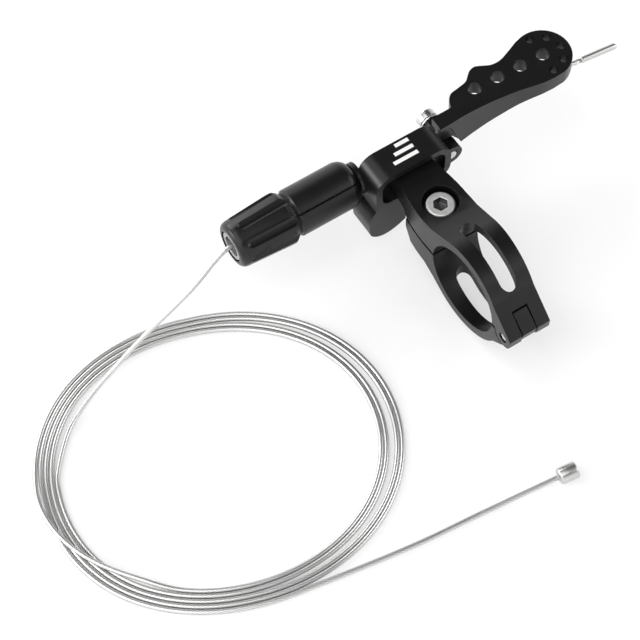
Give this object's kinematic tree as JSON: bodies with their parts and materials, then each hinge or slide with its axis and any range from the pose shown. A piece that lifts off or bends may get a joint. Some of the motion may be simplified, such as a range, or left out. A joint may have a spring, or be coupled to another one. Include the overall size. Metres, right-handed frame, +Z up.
{
  "type": "dropper post remote lever",
  "caption": "Bar-clamped thumb lever for a bicycle dropper post, with hinged clamp, loop body, barrel adjuster, holed paddle and a loose coiled inner cable.",
  "frame": {"origin": "centre of the handlebar that the clamp holds, midway across the clamp", "axes": "+X along the handlebar towards the paddle, +Y from the clamp to the lever body, +Z up away from the surface on which the loose cable lies"},
  "size_m": [0.173, 0.0933, 0.0296],
  "materials": {
    "black_anodised": "satin black anodised",
    "steel": "bright stainless",
    "bronze": "plain bronze",
    "cable_steel": "stranded stainless wire"
  },
  "bodies": {
    "mount_body": {"clamp_upper": "black_anodised", "clamp_lower": "black_anodised", "hinge_pin": "steel", "clamp_bolt": "steel", "body_loop": "black_anodised", "bracket_screw": "steel", "pivot_bolt": "steel", "pivot_washer": "steel", "barrel_sleeve": "black_anodised", "cable_lead": "cable_steel", "cable_coil": "cable_steel", "cable_free_end": "cable_steel", "cable_nipple": "cable_steel"},
    "paddle": {"lever": "black_anodised", "pivot_bush": "bronze", "clamp_washer": "steel", "cable_clamp_screw": "steel", "cable_tail": "cable_steel", "tail_cap": "cable_steel"},
    "knob": {"adjuster_knob": "black_anodised", "adjuster_screw": "steel", "housing_seat": "steel"},
    "pulled_cable": {"cable_run": "cable_steel"}
  },
  "joints": [
    {"name": "lever_pivot", "type": "hinge", "parent": "mount_body", "child": "paddle", "pos_m": [0.0132, 0.0377, -0.0007], "axis": [0, 1, 0], "range_deg": [0, 28], "stiffness_Nm_per_rad": 0.05},
    {"name": "knob_turn", "type": "hinge", "parent": "mount_body", "child": "knob", "pos_m": [-0.037, 0.0363, 0.0039], "axis": [1, 0, 0], "continuous": true},
    {"name": "cable_pull", "type": "slide", "parent": "mount_body", "child": "pulled_cable", "axis": [1, 0, 0], "range_m": [0, 0.00225]}
  ],
  "couplings": [
    {"joint": "cable_pull", "follows": "lever_pivot", "m_per_rad": 0.0046}
  ]
}
